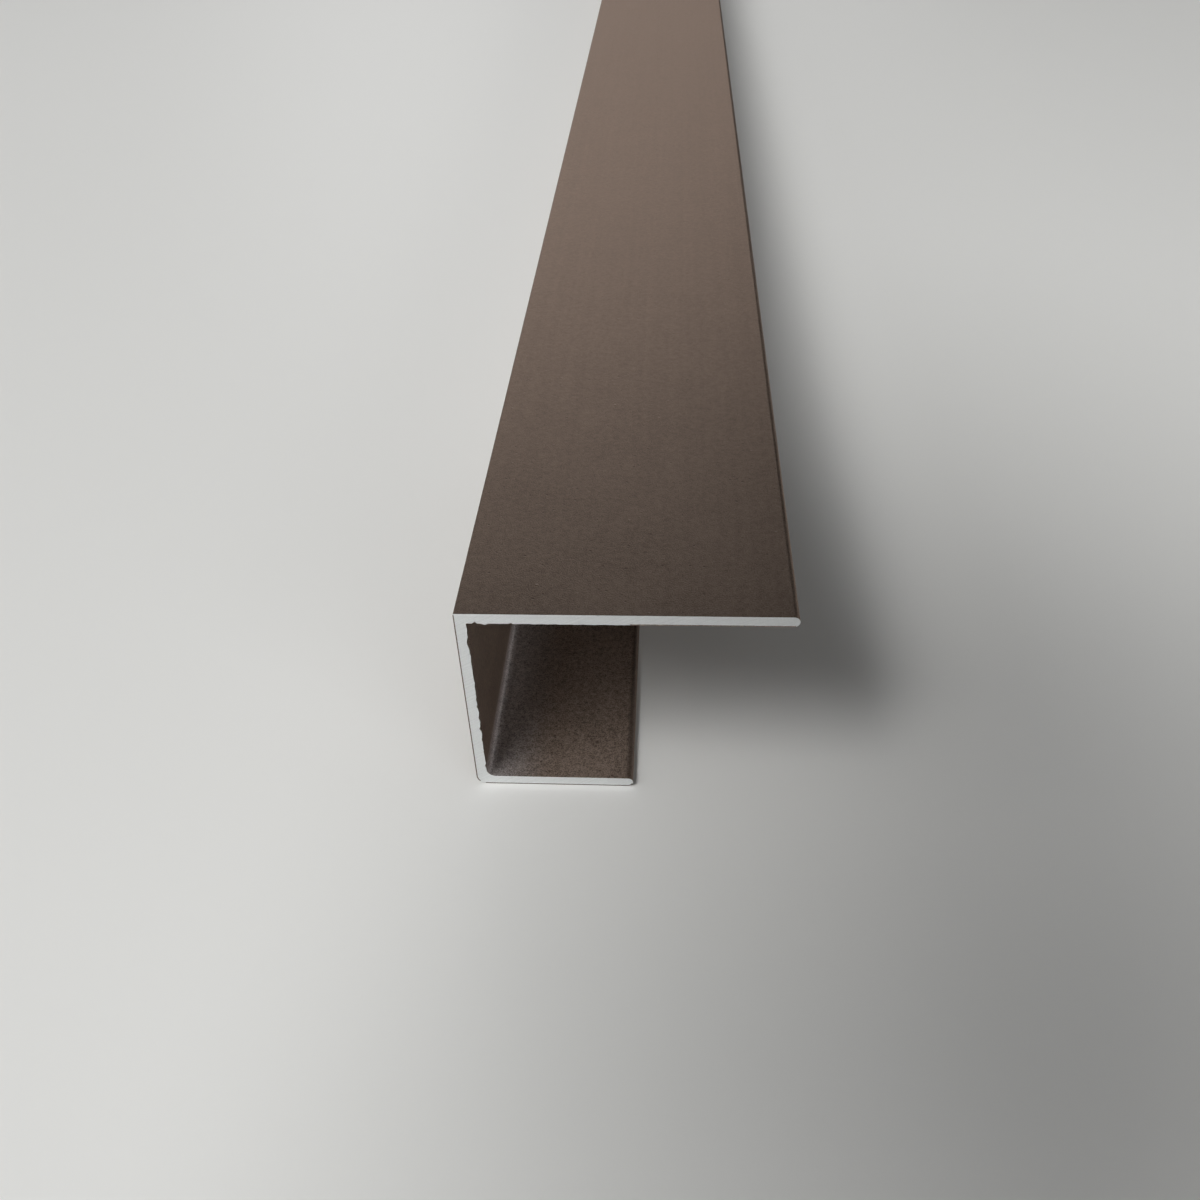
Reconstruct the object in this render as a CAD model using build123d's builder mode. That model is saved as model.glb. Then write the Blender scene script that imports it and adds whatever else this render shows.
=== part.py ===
from build123d import *
import os

# Unequal-leg channel, the J-shaped trim that caps the edge of a board.
# It is one aluminium extrusion: an upright web, a long flange on top and a
# short flange below, on which it lies. Both flanges end in a full round.
# The long flange meets the web in a crisp corner, the short one in a soft bend.
#
# Frame in millimetres: +Y runs along the extrusion, +Z is up and +X points out
# of the channel's mouth. The origin is at the middle of the length, under the
# middle of the overall width, on the surface that the short flange lies on.

# Stock
length = 1000.0
wall = 1.0

# Channel: the board that it takes, and the play that the board has in it
board = 18.0
board_play = 0.4

# Flanges, measured from the back of the web to the tip
long_flange = 28.0
short_flange = 14.4

# Corner radii of the section
bend_outside = 0.9
bend_inside = 0.8
arris_outside = 0.15
arris_inside = 0.1

# Section
gap = board + board_play
height = gap + 2 * wall
lip = wall / 2
back = -long_flange / 2
face = back + wall
long_tip = back + long_flange
short_tip = back + short_flange


def flange_lip(tip, under_side):
    """The full round that closes a flange of one wall's thickness."""
    return CenterArc((tip - lip, under_side + lip), lip, -90, 180)


with BuildPart() as j_channel:
    with BuildSketch(Plane.XZ) as section:
        with BuildLine() as outline:
            short_lip = flange_lip(short_tip, 0)
            long_lip = flange_lip(long_tip, height - wall)
            Polyline(short_lip @ 1, (face, wall), (face, height - wall), long_lip @ 0)
            Polyline(long_lip @ 1, (back, height), (back, 0), short_lip @ 0)
        make_face()
        for x, z, radius in (
            (back, 0, bend_outside),
            (face, wall, bend_inside),
            (back, height, arris_outside),
            (face, height - wall, arris_inside),
        ):
            corner = section.vertices().sort_by_distance((x, z))[0]
            fillet(corner, radius)
    extrude(amount=length / 2, both=True)

j_channel.part.label = "j_channel"

os.makedirs("parts", exist_ok=True)
export_step(j_channel.part, "parts/j_channel.step")
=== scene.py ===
import math

import bmesh
import bpy
from mathutils import Matrix, Vector


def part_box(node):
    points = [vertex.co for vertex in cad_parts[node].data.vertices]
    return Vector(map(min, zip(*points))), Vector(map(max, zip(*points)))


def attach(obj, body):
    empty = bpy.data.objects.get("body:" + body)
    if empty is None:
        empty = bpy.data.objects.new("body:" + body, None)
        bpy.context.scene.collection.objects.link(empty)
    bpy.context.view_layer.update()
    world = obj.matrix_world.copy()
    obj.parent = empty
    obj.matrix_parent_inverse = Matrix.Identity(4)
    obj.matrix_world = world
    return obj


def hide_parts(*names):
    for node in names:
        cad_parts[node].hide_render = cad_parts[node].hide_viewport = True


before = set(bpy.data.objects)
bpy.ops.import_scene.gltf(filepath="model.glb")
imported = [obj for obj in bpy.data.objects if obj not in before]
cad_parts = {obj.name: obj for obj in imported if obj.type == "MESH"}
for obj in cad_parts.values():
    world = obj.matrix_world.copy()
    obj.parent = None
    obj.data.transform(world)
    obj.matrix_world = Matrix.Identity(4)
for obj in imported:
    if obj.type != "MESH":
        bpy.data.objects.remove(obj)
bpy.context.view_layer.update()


# The extrusion: one bar of aluminium alloy, pushed through a die as a J-shaped channel.
# An upright web carries a long flange on top and a short one below, on which it lies.
# The web is a box, the flanges are pulled out of it, and the long edges are rounded.
low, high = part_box("j_channel")
wall = 0.0010
bend_outside = 0.0009
bend_inside = 0.0008
arris_outside = 0.00015
arris_inside = 0.0001
short_tip = max(v.co.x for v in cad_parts["j_channel"].data.vertices if v.co.z < wall)
web_face = low.x + wall
long_under = high.z - wall
middle_height = (low.z + high.z) / 2
length = high.y - low.y
speck = 1e-6


def select(kind, wanted):
    """Selects the faces, edges or corners of the piece in hand that a test wants, and counts them."""
    bpy.ops.mesh.select_mode(type=kind)
    bpy.ops.mesh.select_all(action="DESELECT")
    edited = bmesh.from_edit_mesh(bpy.context.object.data)
    items = {"VERT": edited.verts, "EDGE": edited.edges, "FACE": edited.faces}[kind]
    chosen = [item for item in items if wanted(item)]
    for item in chosen:
        item.select_set(True)
    edited.select_flush_mode()
    bmesh.update_edit_mesh(bpy.context.object.data)
    return len(chosen)


def cut(point, normal):
    """Cuts all of the piece in hand along a plane, and keeps both sides."""
    bpy.ops.mesh.select_all(action="SELECT")
    bpy.ops.mesh.bisect(plane_co=point, plane_no=normal)


def runs_along(edge):
    """Whether an edge runs along the bar."""
    start, end = (corner.co for corner in edge.verts)
    return abs(start.x - end.x) < speck and abs(start.z - end.z) < speck


def round_long_edge(x, z, radius, steps):
    """Rounds the edges that run along the bar at one place of its section."""
    select("EDGE", lambda e: runs_along(e) and math.dist((x, z), e.verts[0].co.xz) < speck)
    bpy.ops.mesh.bevel(offset=radius, segments=steps, affect="EDGES", clamp_overlap=False)


def round_lip(tip, under_side):
    """Closes a flange with a full round, from one face over to the other."""
    lip = (under_side, under_side + wall)
    select(
        "EDGE",
        lambda e: runs_along(e)
        and abs(e.verts[0].co.x - tip) < speck
        and min(abs(e.verts[0].co.z - z) for z in lip) < speck,
    )
    bpy.ops.mesh.bevel(offset=wall / 2, segments=8, affect="EDGES", clamp_overlap=False)
    bpy.ops.mesh.select_all(action="SELECT")
    bpy.ops.mesh.remove_doubles(threshold=speck)


bpy.ops.object.select_all(action="DESELECT")
bpy.ops.mesh.primitive_cube_add(
    size=1,
    location=(low.x + wall / 2, 0, middle_height),
    scale=(wall, length, high.z - low.z),
)
profile = bpy.context.object
profile.name = "profile"
bpy.ops.object.transform_apply(location=True, rotation=True, scale=True)
bpy.ops.object.mode_set(mode="EDIT")
for level in (low.z + wall, long_under):
    cut((0, 0, level), (0, 0, 1))
for tip, inside in (
    (short_tip, lambda z: z < low.z + wall),
    (high.x, lambda z: z > long_under),
):
    select("FACE", lambda f: f.normal.x > 0.9 and inside(f.calc_center_median().z))
    bpy.ops.mesh.extrude_region_move(TRANSFORM_OT_translate={"value": (tip - web_face, 0, 0)})
bpy.ops.mesh.select_all(action="SELECT")
bpy.ops.mesh.dissolve_limited(angle_limit=math.radians(1))
round_lip(short_tip, low.z)
round_lip(high.x, long_under)
round_long_edge(low.x, low.z, bend_outside, 10)
round_long_edge(web_face, low.z + wall, bend_inside, 10)
round_long_edge(low.x, high.z, arris_outside, 4)
round_long_edge(web_face, long_under, arris_inside, 3)


# The sawn ends: the bar was cut off square with a circular saw, through the bronze coat.
# The outline is divided finely near each cut, so that the tears of the teeth have shape, and a
# rim as wide as the coat is thick is set off round the cut, where the coat's edge shows.
coat = 0.0001
tear_pitch = 0.00015
tear_reach = 0.0012
tear_depths = (0.00006, 0.00014, 0.00028, 0.0006, tear_reach)
plain_depth = 0.02


def depth(point):
    """How far a point lies from the nearer sawn end."""
    return high.y - abs(point.y)


select("FACE", lambda f: abs(f.normal.y) > 0.9)
bpy.ops.mesh.delete(type="FACE")
for inward in (*tear_depths, plain_depth):
    for end in (-1, 1):
        cut((0, end * (high.y - inward), 0), (0, 1, 0))


def too_long(edge):
    """Whether an edge near a cut runs round the section for longer than a tear."""
    near = all(depth(corner.co) < tear_reach + speck for corner in edge.verts)
    return near and not runs_along(edge) and edge.calc_length() > tear_pitch


while select("EDGE", too_long):
    bpy.ops.mesh.subdivide(number_cuts=1)
for end in (-1, 1):
    select("EDGE", lambda e: e.is_boundary and e.verts[0].co.y * end > 0)
    bpy.ops.mesh.edge_face_add()
select("FACE", lambda f: abs(f.normal.y) > 0.9)
bpy.ops.mesh.inset(thickness=coat, use_even_offset=True)
bpy.ops.mesh.select_all(action="SELECT")
bpy.ops.mesh.normals_make_consistent(inside=False)
bpy.ops.object.mode_set(mode="OBJECT")


# The torn edges: where the teeth left the metal, inside the channel, the edge wanders by a few
# hundredths of a millimetre. The tears fade within a millimetre of the cut.
tears = bpy.data.textures.new("tears", "CLOUDS")
tears.noise_scale = 0.0005
tears.noise_depth = 2


def tear(name, axis, wander, apart):
    """Moves one edge of the section along an axis, most at the cut and less along the bar."""
    edge = profile.vertex_groups.new(name=name)
    for corner in profile.data.vertices:
        weight = (1 - depth(corner.co) / tear_reach) * (1 - apart(corner.co) / (2 * coat))
        if weight > 0 and depth(corner.co) < tear_reach:
            edge.add([corner.index], weight, "REPLACE")
    moved = profile.modifiers.new(name, "DISPLACE")
    moved.texture = tears
    moved.texture_coords = "LOCAL"
    moved.direction = axis
    moved.strength = wander
    moved.vertex_group = name
    bpy.ops.object.modifier_apply(modifier=name)
    profile.vertex_groups.remove(profile.vertex_groups[name])


def from_web(point):
    """How far a point lies from the inner face of the web."""
    return abs(point.x - web_face) if point.z > low.z + wall + bend_inside - speck else math.inf


def from_long_flange(point):
    """How far a point lies from the under side of the long flange."""
    return abs(point.z - long_under) if point.x < high.x - wall / 2 + speck else math.inf


def from_short_flange(point):
    """How far a point lies from the upper face of the short flange."""
    return abs(point.z - low.z - wall) if point.x > web_face + bend_inside - speck else math.inf


tear("web_edge", "X", 0.00012, from_web)
tear("long_flange_edge", "Z", 0.0001, from_long_flange)
tear("short_flange_edge", "Z", 0.00004, from_short_flange)


# The nicks and burrs of the near end, one by one, where the saw pushed the metal. On the web each
# is a height, a push in x and a width. On the long flange each is a distance from the web's back,
# a push in z and a width.
web_nicks = (
    (0.0188, 0.00003, 0.0004),
    (0.0173, -0.00015, 0.0008),
    (0.0128, 0.00004, 0.0004),
    (0.0107, -0.00005, 0.0003),
    (0.0099, -0.00009, 0.0003),
    (0.0092, 0.00006, 0.0003),
    (0.0085, -0.00006, 0.00025),
    (0.0080, 0.00005, 0.00025),
    (0.0071, -0.00009, 0.0003),
    (0.0065, 0.00006, 0.0003),
    (0.0058, -0.00005, 0.00025),
    (0.0041, -0.00004, 0.0003),
    (0.0023, -0.00007, 0.0003),
)
flange_nicks = (
    (0.0017, 0.00022, 0.0002),
    (0.0025, -0.00014, 0.0003),
    (0.0047, 0.0001, 0.0002),
)


def nick(middle, push, width):
    """Pushes the outline of the near end at one place, and less on both sides of it."""
    edited = bmesh.from_edit_mesh(profile.data)
    ring = [v for v in edited.verts if v.co.y < low.y + speck and v.is_manifold]
    nearest = min(ring, key=lambda v: math.dist(middle, v.co.xz)).index
    select("VERT", lambda v: v.index == nearest)
    bpy.ops.transform.translate(
        value=push,
        use_proportional_edit=True,
        use_proportional_connected=True,
        proportional_edit_falloff="SMOOTH",
        proportional_size=width,
    )


bpy.ops.object.mode_set(mode="EDIT")
for height, push, width in web_nicks:
    nick((web_face, low.z + height), (push, 0, 0), width)
for along, push, width in flange_nicks:
    nick((low.x + along, long_under), (0, 0, push), width)
bpy.ops.object.mode_set(mode="OBJECT")


# The bronze coat: a matt metallic finish all over the bar, baked on before it was sawn. It has
# a fine grain like orange peel, faint clouds, small pits, a few nibs of dust, and lines from the
# die under it. Inside the channel its colour is painted lighter, as painted light, and by the bend
# it is painted a paler grey, as a painted sheen.
class Signal:
    """An output of a material's nodes. Arithmetic on signals adds the Math nodes for it."""

    def __init__(self, tree, socket=None):
        self.tree = tree
        self.socket = socket

    def node(self, kind, settings=None, inputs=None, output=0):
        """Adds a node: first its settings, then values or signals for its sockets."""
        made = self.tree.nodes.new("ShaderNode" + kind)
        for name, value in (settings or {}).items():
            setattr(made, name, value)
        for name, value in (inputs or {}).items():
            if isinstance(value, Signal):
                self.tree.links.new(value.socket, made.inputs[name])
            else:
                made.inputs[name].default_value = value
        return Signal(self.tree, made.outputs[output])

    def math(self, operation, *values):
        """Adds a Math node."""
        return self.node("Math", {"operation": operation}, dict(enumerate(values)))

    def __add__(self, other):
        return self.math("ADD", self, other)

    def __sub__(self, other):
        return self.math("SUBTRACT", self, other)

    def __rsub__(self, other):
        return self.math("SUBTRACT", other, self)

    def __mul__(self, other):
        return self.math("MULTIPLY", self, other)

    __radd__ = __add__
    __rmul__ = __mul__

    def between(self, start, end):
        """A smooth ramp, 0 up to start and 1 from end on."""
        settings = {"interpolation_type": "SMOOTHSTEP"}
        return self.node("MapRange", settings, {"Value": self, "From Min": start, "From Max": end})

    def blend(self, colour_a, colour_b):
        """colour_a where the signal is 0 and colour_b where it is 1."""
        sockets = {0: self, 6: colour_a, 7: colour_b}
        return self.node("Mix", {"data_type": "RGBA"}, sockets, output=2)


def new_material(name):
    """A material with a Principled shader, and the signal of the place on the object."""
    made = bpy.data.materials.new(name)
    made.use_nodes = True
    place = Signal(made.node_tree).node("TexCoord", output="Object")
    return made, made.node_tree.nodes["Principled BSDF"], place


def noise(place, size, detail=2.0, roughness=0.5):
    """Soft noise from 0 to 1, with spots of one size in metres."""
    inputs = {"Vector": place, "Scale": 1 / size, "Detail": detail, "Roughness": roughness}
    return place.node("TexNoise", None, inputs)


def specks(place, apart, core, rim):
    """Round specks on a loose grid, 1 in their middle and 0 between them.

    The core and the rim are shares of the distance from one speck to the next.
    """
    cells = place.node("TexVoronoi", None, {"Vector": place, "Scale": 1 / apart}, output="Distance")
    return 1 - cells.between(core, rim)


def feed(shader, **signals):
    """Connects signals to a shader's sockets, named with underscores for spaces."""
    for name, signal in signals.items():
        signal.tree.links.new(signal.socket, shader.inputs[name.replace("_", " ")])


bronze, shader, place = new_material("bronze_coat")
shader.inputs["Metallic"].default_value = 0.6
shader.inputs["Specular Tint"].default_value = (0.85, 0.66, 0.56, 1)
peel = noise(place, 0.00045, 2.0)
grain = noise(place, 0.00012, 2.0)
clouds = noise(place, 0.006, 2.0)
along = place.node("Mapping", None, {"Vector": place, "Scale": (1.0, 0.01, 1.0)})
die_lines = noise(along, 0.0007, 3.0, 0.6)
nibs = specks(place, 0.003, 0.015, 0.055)
pits = specks(place, 0.0012, 0.04, 0.13)
tone = 0.5 + (peel - 0.5) * 0.6 + (grain - 0.5) * 1.6 + (clouds - 0.5) * 0.25 + (die_lines - 0.5) * 0.2
tone = (tone + nibs * 0.3 - pits * 0.35).between(0.0, 1.0)
spot = place.node("SeparateXYZ", None, {"Vector": place}, output="X")
level = place.node("SeparateXYZ", None, {"Vector": place}, output="Z")

# Painted light: inside the channel, up to the short flange's lip, the coat is painted lighter.
lip = spot.between(short_tip - 0.8 * wall, short_tip - 0.4 * wall) * (
    1 - level.between(low.z + wall, low.z + 2 * wall)
)
inside = (
    spot.between(low.x + wall / 2, web_face)
    * level.between(low.z + wall / 2, low.z + wall)
    * (1 - level.between(long_under, long_under + wall / 2))
    * (1 - lip)
)

# Painted sheen: from the bend outwards, along the short flange, the coat is painted a paler grey.
sheen_reach = 0.006
upright = level.between(low.z + wall + bend_inside, low.z + wall + 2 * bend_inside)
corner = (1 - spot.between(web_face, web_face + sheen_reach)) * (1 - upright)
# The first colour is the coat's own. The next two are painted light for the inside of the channel, and
# the paler grey one is a painted sheen by the bend.
full_coat = tone.blend((0.088, 0.067, 0.054, 1), (0.190, 0.146, 0.118, 1))
flange_coat_painted_light = tone.blend((0.115, 0.087, 0.070, 1), (0.465, 0.360, 0.294, 1))
web_coat_painted_light = tone.blend((0.092, 0.070, 0.056, 1), (0.350, 0.271, 0.221, 1))
# The paler grey of the painted sheen by the bend.
bend_sheen_painted = tone.blend((0.185, 0.168, 0.161, 1), (0.660, 0.605, 0.595, 1))
inside_painted_light = corner.blend(upright.blend(flange_coat_painted_light, web_coat_painted_light), bend_sheen_painted)
feed(
    shader,
    Base_Color=inside.blend(full_coat, inside_painted_light),
    Roughness=0.38 + (grain - 0.5) * 0.16 + (clouds - 0.5) * 0.04,
    Normal=place.node(
        "Bump",
        None,
        {
            "Strength": 1.0,
            "Distance": 0.00001,
            "Height": peel * 1.5 + grain * 2.5 + nibs * 3.0 - pits * 1.5 + die_lines * 0.4,
        },
    ),
)
profile.data.materials.append(bronze)


# The bare metal of the cut: bright aluminium, matt from the saw, with the fine arcs that the
# teeth left round the blade's axis, which was below the bar and to its right. Along the web's
# back and under the flanges the coat shows its edge beside it, as a dark line.
sawn, shader, place = new_material("sawn_aluminium")
shader.inputs["Metallic"].default_value = 1.0
blade_axis = (0.06, 0.0, -0.11)
arc_pitch = 0.00016
section = place.node("Mapping", None, {"Vector": place, "Scale": (1.0, 0.0, 1.0)})
from_axis = place.node(
    "VectorMath", {"operation": "DISTANCE"}, {0: section, 1: blade_axis}, output="Value"
)
arcs = place.node(
    "TexNoise", {"noise_dimensions": "1D"}, {"W": from_axis, "Scale": 1 / arc_pitch, "Detail": 2.0}
)
grit = noise(place, 0.00012, 2.0)
shade = (arcs - 0.5) * 0.5 + (grit - 0.5) * 0.5 + 0.5
feed(
    shader,
    Base_Color=shade.between(0.0, 1.0).blend((0.70, 0.715, 0.72, 1), (0.88, 0.895, 0.90, 1)),
    Roughness=0.42 + (grit - 0.5) * 0.2,
    Normal=place.node("Bump", None, {"Strength": 1.0, "Distance": 0.000004, "Height": arcs + grit}),
)
profile.data.materials.append(sawn)

bpy.ops.object.mode_set(mode="EDIT")


def shows_coat(point):
    """Whether a point of the rim lies along the web's back, or under one of the flanges.

    On the lower half of the outer bend the coat has come off.
    """
    if point.x < low.x + 3 * coat:
        return point.z < high.z - coat
    if point.x < short_tip + speck:
        return point.z < low.z + 3 * coat and point.x > low.x + bend_outside - coat
    return point.z < long_under + coat


select(
    "FACE",
    lambda f: abs(f.normal.y) > 0.9
    and not (len(f.verts) == 4 and shows_coat(f.calc_center_median())),
)
profile.active_material_index = 1
bpy.ops.object.material_slot_assign()
bpy.ops.object.mode_set(mode="OBJECT")
bpy.ops.object.shade_smooth_by_angle(angle=math.radians(30))
profile.modifiers.new("flat faces stay flat", "WEIGHTED_NORMAL").keep_sharp = True
bpy.ops.object.modifier_apply(modifier="flat faces stay flat")
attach(profile, "root")
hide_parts("j_channel")


# The floor: a plain pale sheet with a slight sheen, a hair under the short flange. Well away
# from the bar it fades into the tone of the room behind it, so that it shows no edge.
floor_gap = 0.00002
fade_start = 0.7
fade_end = 1.9
bpy.ops.mesh.primitive_plane_add(size=30, location=(0, 0, low.z - floor_gap))
floor = bpy.context.object
floor.name = "floor"
paper, shader, place = new_material("pale_floor")
shader.inputs["Base Color"].default_value = (0.76, 0.76, 0.74, 1)
shader.inputs["Roughness"].default_value = 0.5
room_tone = (0.66, 0.66, 0.66, 1)
lit = Signal(paper.node_tree, shader.outputs["BSDF"])
glow = place.node("Emission", None, {"Color": room_tone})
from_bar = place.node("VectorMath", {"operation": "LENGTH"}, {0: place}, output="Value")
faded = place.node("MixShader", None, {0: from_bar.between(fade_start, fade_end), 1: lit, 2: glow})
feed(paper.node_tree.nodes["Material Output"], Surface=faded)
floor.data.materials.append(paper)


# The light: a large softbox high in front on the left, and weak low ones on the left, on the
# right and behind, all aimed at the near end, in a room that is pale near the floor and dark
# above. A black card behind, which the camera doesn't see, darkens what the top mirrors.
def place_from(azimuth, elevation, distance):
    """A place seen from the near end, and the turn that makes a lamp or a card face that end.

    The azimuth is from straight behind the end, to the right.
    """
    azimuth, elevation = math.radians(azimuth), math.radians(elevation)
    towards = Vector((math.sin(azimuth), math.cos(azimuth), math.tan(elevation))).normalized()
    near_end = Vector((0, low.y, high.z))
    return near_end + distance * towards, towards.to_track_quat("Z", "Y").to_euler()


def softbox(name, azimuth, elevation, distance, width, height, radiance):
    """An even rectangular lamp that faces the near end."""
    location, rotation = place_from(azimuth, elevation, distance)
    bpy.ops.object.light_add(type="AREA", location=location, rotation=rotation)
    lamp = bpy.context.object
    lamp.name = name
    lamp.visible_camera = False
    lamp.data.shape = "RECTANGLE"
    lamp.data.size = width
    lamp.data.size_y = height
    lamp.data.energy = radiance * math.pi * width * height


softbox("key_softbox", 218, 54, 2.4, 1.65, 1.1, 9.4)
softbox("left_softbox", 258, 28, 3.0, 1.6, 1.2, 2.2)
softbox("fill_softbox", 138, 22, 3.0, 1.6, 1.0, 3.2)
softbox("back_softbox", -6, 21, 3.0, 1.4, 0.58, 2.9)

location, rotation = place_from(16, 9, 4.5)
bpy.ops.mesh.primitive_plane_add(size=1, location=location, rotation=rotation)
card = bpy.context.object
card.name = "black_card"
card.scale = (4.0, 1.5, 1)
card.visible_camera = False
dark_tone = (0.01, 0.01, 0.01, 1)
black, shader, place = new_material("black_card")
shader.inputs["Base Color"].default_value = dark_tone
shader.inputs["Roughness"].default_value = 1.0
card.data.materials.append(black)

pale_up_to = 0.17
dark_from = 0.38
room = bpy.data.worlds.new("room")
bpy.context.scene.world = room
room.use_nodes = True
background = room.node_tree.nodes["Background"]
direction = Signal(room.node_tree).node("TexCoord", output="Generated")
rise = direction.node("SeparateXYZ", None, {"Vector": direction}, output="Z")
feed(background, Color=rise.between(pale_up_to, dark_from).blend(room_tone, dark_tone))


# The camera stands over the near end, as in the photograph, and looks down along the bar.
# A small black flag just behind the lens keeps the key softbox off the near end's right side.
film_width = 36.0
focal_share = 1117.1 / 1200
pitch = math.radians(39.26)
yaw = math.radians(-4.622)
roll = math.radians(-2.366)
eye = Vector((low.x + 0.01758, low.y - 0.06844, 0.07813))
bpy.ops.object.camera_add()
camera = bpy.context.object
turned = (
    Matrix.Rotation(-yaw, 4, "Z")
    @ Matrix.Rotation(math.pi / 2 - pitch, 4, "X")
    @ Matrix.Rotation(roll, 4, "Z")
)
camera.matrix_world = Matrix.Translation(eye) @ turned
camera.data.sensor_width = film_width
camera.data.lens = film_width * focal_share
camera.data.clip_start = 0.005
bpy.context.scene.camera = camera

bpy.ops.mesh.primitive_plane_add(size=1)
flag = bpy.context.object
flag.name = "flag"
flag.matrix_world = camera.matrix_world @ Matrix.Translation((-0.0075, 0.022, 0.004))
flag.scale = (0.059, 0.096, 1)
flag.visible_camera = False
flag.data.materials.append(black)

bpy.context.scene.view_settings.view_transform = "Standard"
